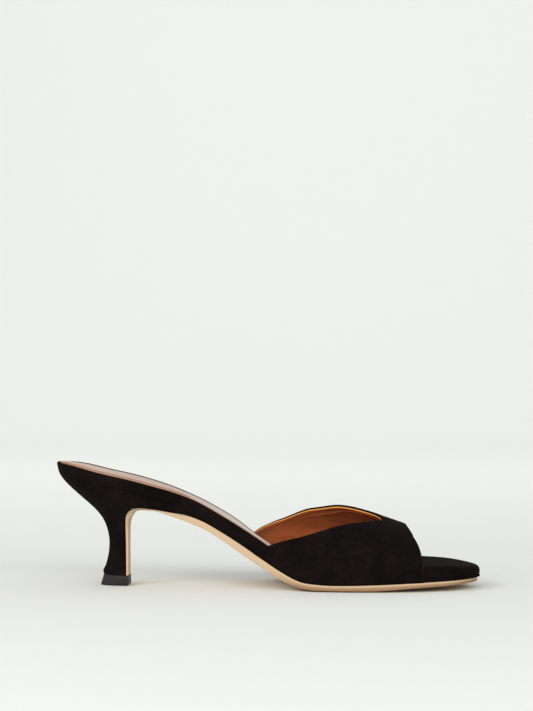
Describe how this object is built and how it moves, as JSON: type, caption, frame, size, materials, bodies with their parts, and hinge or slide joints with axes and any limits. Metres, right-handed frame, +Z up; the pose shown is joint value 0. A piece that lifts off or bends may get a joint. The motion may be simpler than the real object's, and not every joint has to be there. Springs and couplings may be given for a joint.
{
  "type": "mule shoe",
  "caption": "Open-toe slip-on mule for the left foot: a V-cut suede vamp over a suede-covered footbed, a leather sole and a small waisted heel.",
  "frame": {"origin": "on the floor, under the middle of the shoe's length and width", "axes": "+X towards the toe, +Y towards the outer side of the left foot, +Z up"},
  "size_m": [0.2308, 0.0766, 0.0675],
  "materials": {
    "suede": "black suede, napped and matt",
    "sole_leather": "natural sole leather, smooth with a trimmed edge",
    "lining_leather": "tan kid leather with a soft sheen",
    "lift_rubber": "dark charcoal rubber, satin"
  },
  "bodies": {
    "root": {"outsole": "sole_leather", "footbed": "suede", "sock": "lining_leather", "upper": "suede", "heel": "suede", "top_piece": "lift_rubber"}
  },
  "joints": []
}
